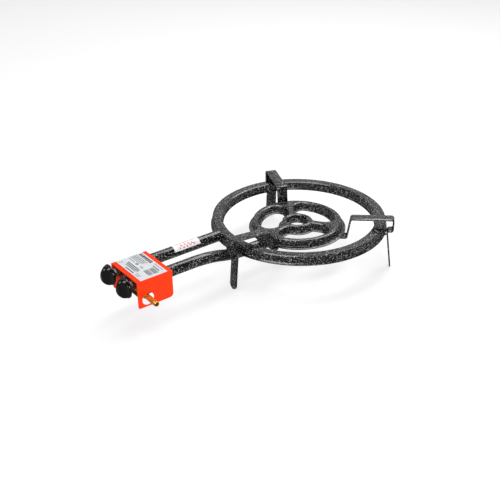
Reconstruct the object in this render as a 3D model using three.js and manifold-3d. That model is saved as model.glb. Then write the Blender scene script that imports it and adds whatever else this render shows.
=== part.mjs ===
import * as THREE from "three";
import { mergeVertices } from "three/addons/utils/BufferGeometryUtils.js";
import Module from "manifold-3d";

// A two-ring outdoor gas burner for large pans: two pressed-steel ring burners, three strip supports
// that hold them together and are also the legs, a mixing tube to each ring, and a folded cover over
// a gas rail with two push-and-turn taps.
//
// Millimetres, Z up. X runs from the knobs to the rings. The parts are laid out with the rings' axis
// at x = y = 0 and the outer ring's flange plane at z = 0; the last lines stand the burner on its legs
// with the origin under the middle of its bounding box.

// ---------------------------------------------------------------- driving dimensions

const GAP = 0.3; // between pieces that touch
const SHEET = 1.2; // pressed steel of both burners

const OUTER = { flangeR: 200, wallOutR: 196, wallInR: 173.6, lipR: 171.5, height: 18.6, crown: 1.5 };
// the inner burner sits a little off the rings' axis
const INNER = {
  x: -2.2, y: 1.6, z: -11.85, height: 17,
  flange: 9, lip: 6.5, hubFlange: 8.5, hubLip: 4.3, spokeFlange: 7,
};
const WHEEL = {
  ringOut: 101.5, ringIn: 88.8, hubOut: 34, hubIn: 23.6,
  spokeHalf: 7.8, ringFillet: 24, hubFillet: 11,
};
const SPOKES = [66.5, 186, 305.5]; // directions of the inner burner's spokes, degrees

const STRIP = { width: 25, thick: 3, bend: 5 }; // bent flat bar of the supports
const SUPPORTS = {
  back: { x: 78.5, y: 201.4, direction: 68.7, tipInset: 3.2 },
  right: { x: 129, y: -172.5, direction: -45.6, tipInset: 0.9 },
  front: { x: -216, y: -30, direction: 175.5, tipInset: 6.5 },
};
const PAN_Z = 37.2; // top of a support at its outer end
const PAN_DROP = 4; // how far the bar falls towards the middle
const BAR = 94.3; // length of the top bar
const LEG = { inset: 13.4, shoulder: 7.5, floor: -85.5 }; // a leg starts inside the riser's outer end
const FOOT = { inset: 101.4, length: 16 }; // tab under the inner burner

const TUBE = { outR: 12.5, inR: 11, z: 10, start: -402, backY: 42.5, frontY: -20.5 };
const BEND = { from: -310, to: -134, y: 5, z: -26.2, end: -83 }; // low run of the front tube
const PORT = { x: -97, y: 4, r: 4.2 }; // gas port in the inner burner's base

const COVER = {
  x0: -450.6, x1: -368.6, y0: -42.5, y1: 59.7, bottom: -36, top: 25,
  sheet: 1.5, bend: 2.5, corner: 9,
};
const HOSE_HOLE = { x: -427.2, z: -19.5, r: 13.75 };
const PLATE = { x: -383, thick: 1.5, y0: -36, y1: 56, holeGap: 0.3, flange: 14, tab: [-6, 28] };
const SHELF = { x: -440, y0: -24, y1: 50 }; // carries the gas rail

const RAIL = { x: -430, z: -12.6, r: 7, bore: 4, y0: -30, y1: 54 };
const NOZZLE = { tip: -80, r: 5.8, bore: 4.1, hexAF: 13.4, hexFrom: -40.6, hexTo: -32.1 };

const TAP = { front: -449, rear: -414, r: 9.5, boss: 6.2, tail: 3.7 };
const PLUG = { face: -441, end: -424.5, big: 6.3, small: 4.9, clearance: 0.15, port: 2 };
const STEM = { r: 4, end: -476, flat: 2.8 };
const GLAND = { front: -455.5, hexAF: 17, bore: 4.3 };
const KNOB = { back: -462.5, r: 22.3, skirt: 5, grip: 17, gripR: 20.6, crest: 4.6, scoop: 16.8 };
const JET = { tip: -399, hexAF: 9, hexFront: -413.7, hexRear: -406, shank: 3.5, bore: 1.5, orifice: 0.6 };

const LABEL = { x0: -440.5, x1: -378, margin: 1.8, thick: 0.25 };
const WRAP = { x0: -314, x1: -249.5, from: 20, to: 160 }; // sticker on the back tube, degrees round it

// ---------------------------------------------------------------- materials

const finishes = {
  enamel: { color: 0x1b1b1d, roughness: 0.42, metalness: 0.1 },
  powderCoat: { color: 0xf0401c, roughness: 0.5, metalness: 0 },
  steel: { color: 0x9b9da0, roughness: 0.4, metalness: 0.9 },
  brass: { color: 0xc79a3d, roughness: 0.25, metalness: 1 },
  nickel: { color: 0x86888b, roughness: 0.4, metalness: 1 },
  bakelite: { color: 0x0b0b0c, roughness: 0.12, metalness: 0 },
  fibre: { color: 0x7b2f22, roughness: 0.8, metalness: 0 },
  foil: { color: 0xe6eaec, roughness: 0.45, metalness: 0 },
};

// ---------------------------------------------------------------- solids

const wasm = await Module();
wasm.setup();

function signedVolume(position, index) {
  const [a, b, c] = [new THREE.Vector3(), new THREE.Vector3(), new THREE.Vector3()];
  let volume = 0;
  for (let i = 0; i < index.length; i += 3) {
    a.fromArray(position, 3 * index[i]);
    b.fromArray(position, 3 * index[i + 1]);
    c.fromArray(position, 3 * index[i + 2]);
    volume += a.dot(b.cross(c)) / 6;
  }
  return volume;
}

// A closed three.js geometry as a manifold solid, faces out.
function solid(geometry) {
  const bare = new THREE.BufferGeometry();
  bare.setAttribute("position", geometry.getAttribute("position"));
  if (geometry.index) bare.setIndex(geometry.index);
  const merged = mergeVertices(bare, 1e-4);
  const position = merged.attributes.position.array;
  let triangles = [];
  for (let i = 0; i < merged.index.count; i += 3) {
    const [p, q, r] = [0, 1, 2].map((k) => merged.index.getX(i + k));
    if (p !== q && q !== r && r !== p) triangles.push(p, q, r);
  }
  if (signedVolume(position, triangles) < 0) triangles = triangles.reverse();
  const mesh = new wasm.Mesh({
    numProp: 3,
    vertProperties: new Float32Array(position),
    triVerts: new Uint32Array(triangles),
  });
  mesh.merge();
  return new wasm.Manifold(mesh);
}

const union = (first, ...rest) => rest.reduce((all, next) => all.add(next), first);
const cut = (first, ...tools) => tools.reduce((left, tool) => left.subtract(tool), first);

function geometryOf(manifold) {
  const { vertProperties, triVerts } = manifold.getMesh();
  const geometry = new THREE.BufferGeometry();
  geometry.setAttribute("position", new THREE.BufferAttribute(new Float32Array(vertProperties), 3));
  geometry.setIndex(new THREE.BufferAttribute(new Uint32Array(triVerts), 1));
  geometry.computeVertexNormals();
  return geometry;
}

const burner = new THREE.Group();

function piece(name, manifold, finish) {
  const mesh = new THREE.Mesh(geometryOf(manifold), new THREE.MeshStandardMaterial(finishes[finish]));
  mesh.name = name;
  burner.add(mesh);
}

// ---------------------------------------------------------------- shapes

const radians = THREE.MathUtils.degToRad;
const v2 = (x, y) => new THREE.Vector2(x, y);

// Points of an arc, ends included.
function arc(cx, cy, r, from, to, count) {
  return Array.from({ length: count + 1 }, (_, i) => {
    const angle = from + ((to - from) * i) / count;
    return v2(cx + r * Math.cos(angle), cy + r * Math.sin(angle));
  });
}

const circle = (cx, cy, r, count) => arc(cx, cy, r, 0, 2 * Math.PI, count).slice(0, -1);

// The outline's X and Y stay, and it is raised along Z from z0 to z1.
function prism(outline, z0, z1, holes = []) {
  const shape = new THREE.Shape(outline);
  holes.forEach((hole) => shape.holes.push(new THREE.Path(hole)));
  const geometry = new THREE.ExtrudeGeometry(shape, { depth: z1 - z0, bevelEnabled: false });
  return geometry.translate(0, 0, z0);
}

// A profile of [radius, height] pairs turned about Z.
function turned(profile, count) {
  const points = profile.map(([r, h]) => v2(r, h));
  const open = profile[0][0] === 0 && profile.at(-1)[0] === 0;
  if (!open) points.push(points[0].clone());
  return new THREE.LatheGeometry(points, count).rotateX(Math.PI / 2);
}

const alongX = (geometry, x, y, z) => geometry.rotateY(Math.PI / 2).translate(x, y, z);
const alongY = (geometry, x, y, z) => geometry.rotateX(-Math.PI / 2).translate(x, y, z);

const rodX = (x0, x1, y, z, r, count = 24) =>
  solid(alongX(turned([[0, x0], [r, x0], [r, x1], [0, x1]], count), 0, y, z));
const rodY = (y0, y1, x, z, r, count = 24) =>
  solid(alongY(turned([[0, y0], [r, y0], [r, y1], [0, y1]], count), x, 0, z));
const rodZ = (z0, z1, x, y, r, count = 24) =>
  solid(turned([[0, z0], [r, z0], [r, z1], [0, z1]], count).translate(x, y, 0));

function slab(x0, x1, y0, y1, z0, z1) {
  const box = new THREE.BoxGeometry(x1 - x0, y1 - y0, z1 - z0);
  return solid(box.translate((x0 + x1) / 2, (y0 + y1) / 2, (z0 + z1) / 2));
}

const hexagon = (acrossFlats) => arc(0, 0, acrossFlats / Math.sqrt(3), 0, 2 * Math.PI, 6).slice(0, -1);

// ---------------------------------------------------------------- outer ring

function outerRing() {
  const { flangeR, wallOutR, wallInR, lipR, height, crown } = OUTER;
  const hood = solid(turned([
    [flangeR, 0], [flangeR, SHEET], [wallOutR, SHEET], [wallOutR, height - crown],
    [wallOutR - crown, height], [wallInR + crown, height], [wallInR, height - crown], [wallInR, SHEET],
    [lipR, SHEET], [lipR, 0], [wallInR + SHEET, 0], [wallInR + SHEET, height - crown - 0.5],
    [wallInR + crown + 0.5, height - SHEET], [wallOutR - crown - 0.5, height - SHEET],
    [wallOutR - SHEET, height - crown - 0.5], [wallOutR - SHEET, 0],
  ], 72));
  const inletR = 7.6;
  const inlet = rodX(-wallOutR, -wallInR - 4, TUBE.backY, height / 2, inletR);
  piece("outer_ring_hood", cut(hood, inlet), "enamel");

  const base = turned([[lipR, -GAP - SHEET], [flangeR, -GAP - SHEET], [flangeR, -GAP], [lipR, -GAP]], 72);
  piece("outer_ring_base", solid(base), "enamel");
}

// ---------------------------------------------------------------- inner burner

// One of the openings between two spokes: ring arc outside, hub arc inside, a straight side along
// each spoke, and a fillet at every corner.
function opening(from, to, wheel) {
  const { ringIn, hubOut, spokeHalf, ringFillet, hubFillet } = wheel;
  const side = (r, fillet) => {
    const offset = spokeHalf + fillet;
    return { x: Math.sqrt(r * r - offset * offset), y: offset };
  };
  const ring = side(ringIn - ringFillet, ringFillet);
  const hub = side(hubOut + hubFillet, hubFillet);
  const ringTurn = Math.atan2(ring.y, ring.x);
  const hubTurn = Math.atan2(hub.y, hub.x);
  const placed = (spot, mirror, angle) => v2(spot.x, mirror * spot.y).rotateAround(v2(0, 0), angle);
  const [half, full] = [Math.PI / 2, Math.PI];
  const corners = {
    ringA: placed(ring, 1, from), ringB: placed(ring, -1, to),
    hubA: placed(hub, 1, from), hubB: placed(hub, -1, to),
  };
  return [
    ...arc(corners.ringA.x, corners.ringA.y, ringFillet, from - half, from + ringTurn, 7),
    ...arc(0, 0, ringIn, from + ringTurn, to - ringTurn, 7).slice(1, -1),
    ...arc(corners.ringB.x, corners.ringB.y, ringFillet, to - ringTurn, to + half, 7),
    ...arc(corners.hubB.x, corners.hubB.y, hubFillet, to + half, to + full - hubTurn, 4),
    ...arc(0, 0, hubOut, to - hubTurn, from + hubTurn, 5).slice(1, -1),
    ...arc(corners.hubA.x, corners.hubA.y, hubFillet, from + full + hubTurn, from + full + half, 4),
  ];
}

// The wheel outline raised from z0 to z1, with every wall moved out of the metal by grow.
function wheelPrism(z0, z1, grow) {
  const wheel = {
    ringIn: WHEEL.ringIn - grow.lip, hubOut: WHEEL.hubOut + grow.hubFlange,
    spokeHalf: WHEEL.spokeHalf + grow.spokeFlange,
    ringFillet: WHEEL.ringFillet - grow.spokeFlange, hubFillet: WHEEL.hubFillet - grow.hubFlange,
  };
  const gaps = SPOKES.map((angle, i) => {
    const next = SPOKES[(i + 1) % SPOKES.length] + (i + 1 === SPOKES.length ? 360 : 0);
    return opening(radians(angle), radians(next), wheel);
  });
  const hole = circle(0, 0, WHEEL.hubIn - grow.hubLip, 24);
  const outline = circle(0, 0, WHEEL.ringOut + grow.flange, 60);
  return solid(prism(outline, z0, z1, [...gaps, hole]).translate(INNER.x, INNER.y, 0));
}

const grown = (amount) => ({
  flange: amount, lip: amount, hubFlange: amount, hubLip: amount, spokeFlange: amount,
});

function innerBurner() {
  const { z, height } = INNER;
  const channel = wheelPrism(z, z + height, grown(0));
  const rim = wheelPrism(z, z + SHEET, INNER);
  const inside = wheelPrism(z - 1, z + height - SHEET, grown(-SHEET));
  piece("inner_burner_hood", cut(union(channel, rim), inside), "enamel");

  const base = wheelPrism(z - GAP - SHEET, z - GAP, INNER);
  const port = rodZ(z - 4, z, PORT.x, PORT.y, PORT.r);
  piece("inner_burner_base", cut(base, port), "enamel");
}

// ---------------------------------------------------------------- mixing tubes

// Level at one height and side, then an easy double bend to another, then level again.
class DoubleBend extends THREE.Curve {
  constructor(start, end, from, to) {
    super();
    Object.assign(this, { start, end, from, to });
  }
  getPoint(t, target = new THREE.Vector3()) {
    const x = THREE.MathUtils.lerp(this.start.x, this.end.x, t);
    const s = THREE.MathUtils.clamp((x - this.from) / (this.to - this.from), 0, 1);
    const share = s < 0.5 ? 2 * s * s : 1 - 2 * (1 - s) * (1 - s);
    return target.copy(this.start).lerp(this.end, share).setX(x);
  }
}

function swept(path, r, sides, steps) {
  const shape = new THREE.Shape(circle(0, 0, r, sides));
  return solid(new THREE.ExtrudeGeometry(shape, { extrudePath: path, steps, bevelEnabled: false }));
}

function mixingTubes() {
  const { outR, inR, z, start, backY, frontY } = TUBE;
  const overlap = 2;
  const far = -180;
  const straight = cut(rodX(start, far, backY, z, outR), rodX(start - overlap, far + overlap, backY, z, inR));
  const deep = 60;
  const ring = union(
    rodZ(-deep, deep, 0, 0, OUTER.wallOutR + GAP, 96),
    rodZ(-deep, SHEET + GAP, 0, 0, OUTER.flangeR + GAP, 96),
  );
  piece("outer_mixing_tube", cut(straight, ring), "enamel");

  const bend = (x0, x1) => new DoubleBend(
    new THREE.Vector3(x0, frontY, z), new THREE.Vector3(x1, BEND.y, BEND.z), BEND.from, BEND.to,
  );
  const capped = BEND.end - 2;
  const port = rodZ(BEND.z, 0, PORT.x, PORT.y, PORT.r);
  const tube = cut(
    swept(bend(start, BEND.end), outR, 18, 26),
    swept(bend(start - overlap, capped), inR, 18, 26),
    port,
  );
  piece("inner_mixing_tube", tube, "enamel");
}

// ---------------------------------------------------------------- supports with legs

// A polyline with each inner corner turned into an arc of the given radius.
function rounded(corners, radius, steps) {
  const points = [corners[0]];
  for (let i = 1; i < corners.length - 1; i += 1) {
    const inward = corners[i].clone().sub(corners[i - 1]).normalize();
    const outward = corners[i + 1].clone().sub(corners[i]).normalize();
    const turn = Math.atan2(inward.cross(outward), inward.dot(outward));
    const reach = radius * Math.tan(Math.abs(turn) / 2);
    const side = Math.sign(turn);
    const start = corners[i].clone().addScaledVector(inward, -reach);
    const centre = start.clone().add(v2(-inward.y, inward.x).multiplyScalar(side * radius));
    for (let k = 0; k <= steps; k += 1) {
      points.push(start.clone().rotateAround(centre, (turn * k) / steps));
    }
  }
  return [...points, corners.at(-1)];
}

// The closed outline of a strip of even thickness along a polyline.
function stripOutline(line, thick) {
  const edge = (sign) => line.map((point, i) => {
    const before = point.clone().sub(line[Math.max(i - 1, 0)]).normalize();
    const after = line[Math.min(i + 1, line.length - 1)].clone().sub(point).normalize();
    const along = before.add(after).normalize();
    const mitre = after.length() > 0 ? along.dot(after) : 1;
    return point.clone().add(v2(-along.y, along.x).multiplyScalar((sign * thick) / 2 / mitre));
  });
  return [...edge(1), ...edge(-1).reverse()];
}

// The middle line of a support from the tab under the inner burner, up over both rings, down outside
// the outer ring and back in to its flange, then on past the ground.
function supportLine(tipInset) {
  const { inset, shoulder, floor } = LEG;
  const half = STRIP.thick / 2;
  const barZ = PAN_Z - half;
  const underBurner = INNER.z - GAP - SHEET - GAP - half;
  const below = 8;
  const splay = (inset - tipInset) / (shoulder - floor);
  return rounded([
    v2(-FOOT.inset - FOOT.length, underBurner),
    v2(-FOOT.inset, underBurner),
    v2(-BAR, barZ - PAN_DROP),
    v2(0, barZ),
    v2(0, shoulder),
    v2(-inset, shoulder),
    v2(-tipInset + splay * below, floor - below),
  ], STRIP.bend, 4);
}

function supports() {
  const { width, thick } = STRIP;
  const above = 60;
  const tip = arc(0, LEG.floor + width / 2, width / 2, Math.PI, 2 * Math.PI, 11);
  const lowest = Math.min(...tip.map((point) => point.y));
  tip.forEach((point) => point.setY(point.y + LEG.floor - lowest));
  const silhouette = [v2(width / 2, above), v2(-width / 2, above), ...tip];
  for (const [side, { x, y, direction, tipInset }] of Object.entries(SUPPORTS)) {
    const outline = stripOutline(supportLine(tipInset), thick);
    const strip = prism(outline, -width / 2, width / 2).rotateX(Math.PI / 2);
    const round = prism(silhouette, -FOOT.inset - 40, 40).rotateX(Math.PI / 2).rotateZ(Math.PI / 2);
    const place = (geometry) => solid(geometry.rotateZ(radians(direction)).translate(x, y, 0));
    piece(`pan_support_${side}`, place(strip).intersect(place(round)), "enamel");
  }
}

// ---------------------------------------------------------------- cover and brackets

function controlCover() {
  const { x0, x1, y0, y1, bottom, top, sheet, bend, corner } = COVER;
  const folded = stripOutline(rounded([
    v2(y0 + sheet / 2, bottom), v2(y0 + sheet / 2, top - sheet / 2),
    v2(y1 - sheet / 2, top - sheet / 2), v2(y1 - sheet / 2, bottom),
  ], bend - sheet / 2, 4), sheet);
  const shell = solid(alongX(prism(folded, x0, x1).rotateZ(Math.PI / 2), 0, 0, 0));
  const small = corner / 2;
  const sideView = [
    v2(x1, top + 1), v2(x0, top + 1),
    ...arc(x0 + small, bottom + small, small, Math.PI, 1.5 * Math.PI, 4),
    ...arc(x1 - corner, bottom + corner, corner, -0.5 * Math.PI, 0, 6),
  ];
  const trimmed = solid(prism(sideView, -y1 - 1, 1 - y0).rotateX(Math.PI / 2));
  const hole = rodY(y0 - 2, y0 + sheet + 2, HOSE_HOLE.x, HOSE_HOLE.z, HOSE_HOLE.r, 32);
  piece("control_cover", cut(shell.intersect(trimmed), hole), "powderCoat");
}

// Holds both mixing tubes behind the taps, with a flange welded under the cover's top and a shelf
// that carries the gas rail.
function tubePlate() {
  const { x, thick, y0, y1, holeGap, flange, tab } = PLATE;
  const roof = COVER.top - COVER.sheet - GAP;
  const shelf = RAIL.z - RAIL.r - GAP;
  const web = slab(x, x + thick, y0, y1, shelf - thick, roof);
  const upper = slab(x - flange, x + thick, ...tab, roof - thick, roof);
  const lower = slab(SHELF.x, x + thick, SHELF.y0, SHELF.y1, shelf - thick, shelf);
  const hole = (y) => rodX(x - 1, x + thick + 1, y, TUBE.z, TUBE.outR + holeGap, 24);
  const screws = railScrewSpots().map((y) => rodZ(shelf - thick - 1, shelf + 1, RAIL.x, y, 2.4, 12));
  const plate = union(web, upper, lower);
  piece("tube_plate", cut(plate, hole(TUBE.backY), hole(TUBE.frontY), ...screws), "steel");
}

// ---------------------------------------------------------------- gas rail and hose nozzle

const railScrewSpots = () => [2, 22];

function gasRail() {
  const { x, z, r, bore, y0, y1 } = RAIL;
  const inlet = 5;
  const threadR = 5.9;
  const drop = 4.1;
  const taps = [TUBE.backY, TUBE.frontY].map((y) => rodZ(z, z + r + 1, x, y, drop, 16));
  const screws = railScrewSpots().map((y) => rodZ(z - r - 1, z - r + 2.2, x, y, 2.1, 12));
  const rail = cut(
    rodY(y0, y1, x, z, r), rodY(y0 - 1, y1 + 1, x, z, bore), rodY(y0 - 1, y0 + inlet, x, z, threadR),
    ...taps, ...screws,
  );
  piece("gas_rail", rail, "brass");

  const stop = union(rodY(y1 - 6, y1 + GAP, x, z, bore - 0.1), rodY(y1 + GAP, y1 + 2.5, x, z, r));
  piece("rail_end_plug", stop, "brass");

  const shelf = z - r - GAP;
  const headTop = shelf - PLATE.thick - GAP;
  const screw = (y) => union(
    rodZ(headTop - 2.4, headTop, x, y, 3.8, 12),
    rodZ(headTop - 0.5, z - r + 2, x, y, 1.9, 12),
  );
  piece("rail_screw_front", screw(railScrewSpots()[0]), "steel");
  piece("rail_screw_back", screw(railScrewSpots()[1]), "steel");
}

function hoseNozzle() {
  const { tip, r, bore, hexAF, hexFrom, hexTo } = NOZZLE;
  const { x, z, y0 } = RAIL;
  const outline = [
    [0, tip], [r - 0.4, tip], [r, tip + 3], [r - 0.5, tip + 9], [r, tip + 10], [r, hexFrom + 1],
    [5, hexFrom + 1], [5, hexTo + 3], [5, y0 + 1], [5.5, y0 + 1], [5.5, y0 + 4.6], [0, y0 + 4.6],
  ];
  const shank = solid(alongY(turned(outline, 24), x, 0, z));
  const hex = solid(alongY(prism(hexagon(hexAF), hexFrom, hexTo), x, 0, z));
  const through = rodY(tip - 1, y0 + 8, x, z, bore);
  piece("hose_nozzle", cut(union(shank, hex), through), "brass");

  const washer = cut(rodY(hexTo + GAP, y0 - GAP, x, z, 7), rodY(hexTo, y0, x, z, 5.3));
  piece("nozzle_washer", washer, "fibre");
}

// ---------------------------------------------------------------- taps, one for each ring

class Helix extends THREE.Curve {
  constructor(x0, x1, y, z, r, turns) {
    super();
    Object.assign(this, { x0, x1, y, z, r, turns });
  }
  getPoint(t, target = new THREE.Vector3()) {
    const angle = 2 * Math.PI * this.turns * t;
    const x = THREE.MathUtils.lerp(this.x0, this.x1, t);
    return target.set(x, this.y + this.r * Math.cos(angle), this.z + this.r * Math.sin(angle));
  }
}

function tapBody(ring, y) {
  const { front, rear, r, boss, tail } = TAP;
  const z = TUBE.z;
  const railTop = RAIL.z + RAIL.r;
  const body = union(
    rodX(front, rear, y, z, r),
    rodZ(railTop + GAP, z, RAIL.x, y, boss),
    rodZ(RAIL.z + RAIL.bore, z, RAIL.x, y, tail, 16),
  );
  const saddle = rodY(y - 12, y + 12, RAIL.x, RAIL.z, RAIL.r + GAP);
  const saddled = union(cut(body, saddle), rodZ(RAIL.z + RAIL.bore, z, RAIL.x, y, tail, 16));
  const seat = solid(alongX(turned([
    [0, front - 1], [7.1, front - 1], [7.1, PLUG.face], [PLUG.big + PLUG.clearance, PLUG.face],
    [PLUG.small + PLUG.clearance, PLUG.end], [2.5, PLUG.end], [2.5, -419], [3.8, -419],
    [3.8, rear + 1], [0, rear + 1],
  ], 32), 0, y, z));
  const inlet = rodZ(RAIL.z, z, RAIL.x, y, 2, 12);
  piece(`${ring}_tap_body`, cut(saddled, seat, inlet), "nickel");
}

function tapPlug(ring, y) {
  const { face, end, big, small, port } = PLUG;
  const z = TUBE.z;
  const cone = solid(alongX(turned([[0, face], [big, face], [small, end], [0, end]], 32), 0, y, z));
  const gasWay = rodX(-433, end + 1, y, z, port, 16);
  const sidePort = rodY(y, y + big + 1, RAIL.x, z, port, 16);
  const slot = slab(face - 1, face + 8, y - 1.25, y + 1.25, z - 4.4, z + 4.4);
  piece(`${ring}_tap_plug`, cut(cone, gasWay, sidePort, slot), "brass");
}

function tapStem(ring, y) {
  const z = TUBE.z;
  const collar = -446.2;
  const round = union(rodX(collar - 2, collar, y, z, 6.3), rodX(STEM.end, collar, y, z, STEM.r));
  const flat = slab(STEM.end - 1, GLAND.front - 3, y - 6, y + 6, z + STEM.flat, z + 6);
  const tongue = slab(collar - 1, PLUG.face + 4, y - 0.95, y + 0.95, z - 3.6, z + 3.6);
  piece(`${ring}_tap_stem`, union(cut(round, flat), tongue), "steel");

  const wire = 0.45;
  const coil = new Helix(collar + 2 * wire, PLUG.face - 2 * wire, y, z, 5.2, 2.5);
  piece(`${ring}_tap_spring`, swept(coil, wire, 5, 28), "steel");
}

function tapGland(ring, y) {
  const z = TUBE.z;
  const { front, hexAF, bore } = GLAND;
  const nut = solid(alongX(prism(hexagon(hexAF), front, TAP.front - GAP), 0, y, z));
  const spigot = rodX(TAP.front - 1, TAP.front + 0.4, y, z, 6.8);
  piece(`${ring}_tap_gland`, cut(union(nut, spigot), rodX(front - 1, TAP.front + 2, y, z, bore)), "nickel");
}

// Round skirt with a domed grip pinched to a ridge across it. It stands upright when the tap is off.
function knob(ring, y) {
  const { back, r, skirt, grip, gripR, crest, scoop } = KNOB;
  const z = TUBE.z;
  const face = back - skirt;
  const base = solid(alongX(turned([
    [0, face], [r - 4, face], [r - 1.2, face + 1.2], [r, face + 3], [r, back], [0, back],
  ], 36), 0, y, z));
  const dome = solid(new THREE.SphereGeometry(gripR, 22, 14).rotateX(Math.PI / 2)
    .scale(grip / gripR, 1, 1).translate(face, y, z));
  const half = slab(face - grip - 1, face + 1, y - 30, y + 30, z - 30, z + 30);
  const scoops = [-1, 1].map((side) =>
    rodZ(z - 30, z + 30, face - grip, y + side * (crest + scoop), scoop, 28));
  const bore = rodX(STEM.end - 0.5, back + 1, y, z, STEM.r + GAP);
  const key = slab(STEM.end - 1, back + 2, y - 6, y + 6, z + STEM.flat + GAP, z + 6);
  const body = union(base, cut(dome.intersect(half), ...scoops));
  piece(`${ring}_knob`, cut(body, cut(bore, key)), "bakelite");
}

function injector(ring, y) {
  const z = TUBE.z;
  const { tip, hexAF, hexFront, hexRear, shank, bore, orifice } = JET;
  const body = union(
    solid(alongX(prism(hexagon(hexAF), hexFront, hexRear), 0, y, z)),
    solid(alongX(turned([
      [0, hexFront - 4.5], [shank, hexFront - 4.5], [shank, hexRear - 1], [3.4, hexRear - 1],
      [3.4, hexRear + 3], [2, tip], [0, tip],
    ], 16), 0, y, z)),
  );
  const gasWay = union(rodX(hexFront - 6, tip - 2, y, z, bore, 12), rodX(tip - 3, tip + 1, y, z, orifice, 8));
  piece(`${ring}_injector`, cut(body, gasWay), "brass");
}

// ---------------------------------------------------------------- stickers

function stickers() {
  const top = COVER.top + GAP;
  const { x0, x1, margin, thick } = LABEL;
  piece("rating_label", slab(x0, x1, COVER.y0 + margin, COVER.y1 - margin, top, top + thick), "foil");

  const inner = TUBE.outR + GAP;
  const [from, to] = [radians(WRAP.from), radians(WRAP.to)];
  const outline = [...arc(0, 0, inner + thick, from, to, 14), ...arc(0, 0, inner, to, from, 14)];
  const sticker = prism(outline, WRAP.x0, WRAP.x1).rotateZ(Math.PI / 2);
  piece("tube_label", solid(alongX(sticker, 0, TUBE.backY, TUBE.z)), "foil");
}

// ---------------------------------------------------------------- assembly

outerRing();
innerBurner();
mixingTubes();
supports();
controlCover();
tubePlate();
gasRail();
hoseNozzle();
for (const [ring, y] of [["outer", TUBE.backY], ["inner", TUBE.frontY]]) {
  tapBody(ring, y);
  tapPlug(ring, y);
  tapStem(ring, y);
  tapGland(ring, y);
  knob(ring, y);
  injector(ring, y);
}
stickers();

const box = new THREE.Box3().setFromObject(burner);
const middle = box.getCenter(new THREE.Vector3());
burner.position.set(-middle.x, -middle.y, -box.min.z);

export default burner;
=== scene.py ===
"""Looks for the two-ring gas burner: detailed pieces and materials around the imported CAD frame.

Shapes are written in millimetres from the middle of the rings, at the height of the outer ring's
flange, with +X from the knobs to the rings. place() turns them into metres in the row frame.
"""
import random
from math import atan2, cos, hypot, pi, radians, sin, sqrt, tan

import bmesh
import bpy
from mathutils import Matrix, Vector, noise
from mathutils.geometry import delaunay_2d_cdt


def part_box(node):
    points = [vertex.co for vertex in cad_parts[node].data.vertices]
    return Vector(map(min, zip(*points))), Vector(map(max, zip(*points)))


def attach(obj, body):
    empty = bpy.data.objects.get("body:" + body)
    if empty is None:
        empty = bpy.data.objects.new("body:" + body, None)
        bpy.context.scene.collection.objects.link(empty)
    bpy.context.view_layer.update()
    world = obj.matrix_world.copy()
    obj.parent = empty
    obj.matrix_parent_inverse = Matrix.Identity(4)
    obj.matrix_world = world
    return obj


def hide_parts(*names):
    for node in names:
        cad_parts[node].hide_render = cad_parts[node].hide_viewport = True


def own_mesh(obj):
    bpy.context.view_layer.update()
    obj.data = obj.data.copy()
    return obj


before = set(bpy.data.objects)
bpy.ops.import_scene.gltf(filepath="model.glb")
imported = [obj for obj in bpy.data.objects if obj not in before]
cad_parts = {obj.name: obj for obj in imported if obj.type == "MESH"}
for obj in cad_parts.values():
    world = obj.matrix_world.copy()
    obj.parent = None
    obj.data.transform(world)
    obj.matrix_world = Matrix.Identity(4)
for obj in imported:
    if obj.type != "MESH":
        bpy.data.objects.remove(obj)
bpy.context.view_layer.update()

MM = 0.001
TAU = 2 * pi
ring_low, ring_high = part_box("outer_ring_hood")
CENTRE = Vector(((ring_low[0] + ring_high[0]) / 2, (ring_low[1] + ring_high[1]) / 2, ring_low[2]))


def place(x, y, z):
    return CENTRE + Vector((x, y, z)) * MM


# -------- materials


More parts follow.
